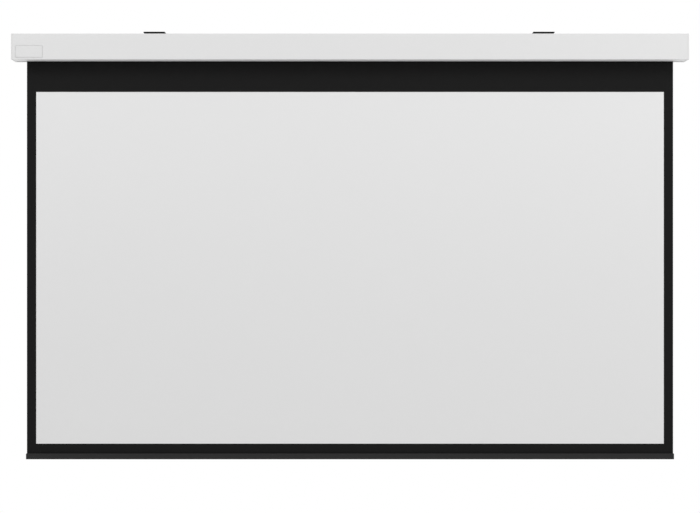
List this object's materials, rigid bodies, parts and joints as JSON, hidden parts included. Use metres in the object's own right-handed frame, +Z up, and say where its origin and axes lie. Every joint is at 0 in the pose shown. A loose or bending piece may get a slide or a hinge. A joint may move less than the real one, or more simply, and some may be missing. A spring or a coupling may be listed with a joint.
{
  "type": "motorized projector screen",
  "caption": "Long white case with a motor-driven roller, a black-bordered white sheet hanging from it, a weighted bottom bar and sliding ceiling or wall brackets.",
  "frame": {"origin": "over the middle of the case, where the ceiling plane (the brackets' top faces) meets the wall plane (the brackets' rear faces)", "axes": "+X along the case, +Y towards the wall, so that the picture faces -Y, +Z up"},
  "size_m": [2.5687, 0.1015, 1.6274],
  "materials": {
    "case_white": "white powder coat, satin",
    "cap_white": "white moulded plastic, fine texture",
    "plate_white": "white plastic, satin, bare",
    "bracket_black": "black powder coat on folded steel",
    "bar_black": "black anodised, satin",
    "plastic_black": "black moulded plastic",
    "sheet_white": "matte white projection sheet, fine surface grain",
    "border_black": "matte black border film",
    "roller_aluminium": "mill finish, drawn along its length",
    "zinc": "zinc plated",
    "zinc_black": "black passivated zinc",
    "steel": "bright turned steel",
    "nylon": "natural nylon",
    "bronze": "sintered bronze",
    "limit_white": "white adjuster plastic",
    "limit_yellow": "yellow adjuster plastic",
    "board_green": "circuit board"
  },
  "bodies": {
    "case": {"case_shell": "case_white", "left_end_cap": "cap_white", "right_end_cap": "cap_white", "left_cap_screw_1": "zinc", "left_cap_screw_2": "zinc", "left_cap_screw_3": "zinc", "left_cap_screw_4": "zinc", "right_cap_screw_1": "zinc", "right_cap_screw_2": "zinc", "right_cap_screw_3": "zinc", "right_cap_screw_4": "zinc", "left_plate_screw_1": "zinc", "left_plate_screw_2": "zinc", "right_plate_screw_1": "zinc", "right_plate_screw_2": "zinc", "front_plate": "plate_white", "power_inlet": "plastic_black", "receiver_box": "plastic_black", "receiver_lid": "plastic_black", "receiver_board": "board_green", "inlet_lead": "plastic_black", "motor_lead": "plastic_black", "motor_bracket": "zinc", "motor_head": "plastic_black", "motor_tube": "zinc", "idler_bracket": "zinc", "idler_pin": "steel", "screen_sheet": "sheet_white", "black_border": "border_black"},
    "roller": {"roller_tube": "roller_aluminium", "clamping_strip": "nylon", "limit_crown": "nylon", "output_shaft": "steel", "drive_wheel": "nylon", "idler_plug": "nylon", "idler_bush": "bronze", "sheet_wraps": "border_black"},
    "bottom_bar": {"bar_profile": "bar_black", "hem_rod": "nylon", "hem_loop": "border_black", "weight_rod": "steel", "left_bar_cap": "plastic_black", "right_bar_cap": "plastic_black"},
    "left_bracket": {"left_bracket": "bracket_black", "left_front_nut": "zinc_black", "left_front_clamp_screw": "zinc_black", "left_rear_nut": "zinc_black", "left_rear_clamp_screw": "zinc_black"},
    "right_bracket": {"right_bracket": "bracket_black", "right_front_nut": "zinc_black", "right_front_clamp_screw": "zinc_black", "right_rear_nut": "zinc_black", "right_rear_clamp_screw": "zinc_black"},
    "up_limit_screw": {"up_limit_screw": "limit_white"},
    "down_limit_screw": {"down_limit_screw": "limit_yellow"}
  },
  "joints": [
    {"name": "roller_spin", "type": "hinge", "parent": "case", "child": "roller", "pos_m": [0, -0.05733, -0.055], "axis": [1, 0, 0], "range_deg": [0, 2955]},
    {"name": "bar_lift", "type": "slide", "parent": "case", "child": "bottom_bar", "axis": [0, 0, 1], "range_m": [0, 1.51636], "deforming": ["screen_sheet", "black_border"]},
    {"name": "left_bracket_slide", "type": "slide", "parent": "case", "child": "left_bracket", "axis": [1, 0, 0], "range_m": [-0.45, 0.65]},
    {"name": "right_bracket_slide", "type": "slide", "parent": "case", "child": "right_bracket", "axis": [1, 0, 0], "range_m": [-0.65, 0.45]},
    {"name": "up_limit_turn", "type": "hinge", "parent": "case", "child": "up_limit_screw", "pos_m": [-1.26445, -0.04761, -0.07407], "axis": [0, 0.454, -0.891], "continuous": true},
    {"name": "down_limit_turn", "type": "hinge", "parent": "case", "child": "down_limit_screw", "pos_m": [-1.25345, -0.04761, -0.07407], "axis": [0, 0.454, -0.891], "continuous": true}
  ],
  "couplings": [
    {"joint": "bar_lift", "follows": "roller_spin", "m_per_rad": 0.029401}
  ]
}
